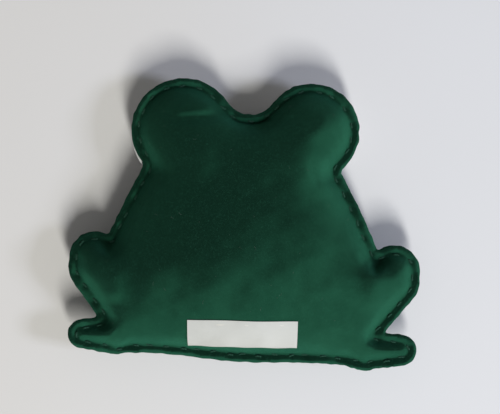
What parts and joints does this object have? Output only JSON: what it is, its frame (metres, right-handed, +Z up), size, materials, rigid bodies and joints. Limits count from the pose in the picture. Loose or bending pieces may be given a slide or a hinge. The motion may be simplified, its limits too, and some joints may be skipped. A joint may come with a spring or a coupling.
{
  "type": "stuffed felt frog",
  "caption": "Hand-sewn stuffed felt frog: two felt panels joined by a running stitch over stuffing, with felt eyes on the front and a paper label glued to the back.",
  "frame": {"origin": "middle of the bounding box on the surface that the belly rests on", "axes": "+X towards the frog's right, +Y towards the head, +Z up out of the back"},
  "size_m": [0.1584, 0.1273, 0.0406],
  "materials": {
    "green_felt": "matt wool-mix craft felt, dark green",
    "stuffing": "loose white polyester filling",
    "green_thread": "twisted cotton thread, green",
    "white_felt": "matt craft felt, white",
    "black_felt": "matt craft felt, black",
    "black_thread": "twisted cotton thread, black",
    "label_paper": "plain uncoated white paper, bare",
    "dry_glue": "dried clear craft glue"
  },
  "bodies": {
    "frog": {"back_panel": "green_felt", "front_panel": "green_felt", "torso_stuffing": "stuffing", "left_eye_stuffing": "stuffing", "right_eye_stuffing": "stuffing", "left_knee_stuffing": "stuffing", "right_knee_stuffing": "stuffing", "left_foot_stuffing": "stuffing", "right_foot_stuffing": "stuffing", "back_seam_stitches": "green_thread", "front_seam_stitches": "green_thread", "seam_knot": "green_thread", "left_eye_white": "white_felt", "right_eye_white": "white_felt", "left_pupil": "black_felt", "right_pupil": "black_felt", "left_pupil_stitches": "black_thread", "right_pupil_stitches": "black_thread", "mouth_stitches": "black_thread", "nostril_stitches": "black_thread", "label_glue": "dry_glue"},
    "label_flap": {"paper_label": "label_paper"}
  },
  "joints": [
    {"name": "label_lift", "type": "hinge", "parent": "frog", "child": "label_flap", "pos_m": [0.0003, -0.0431, 0.03627], "axis": [-0.9994, -0.0297, -0.0163], "range_deg": [0, 70]}
  ]
}
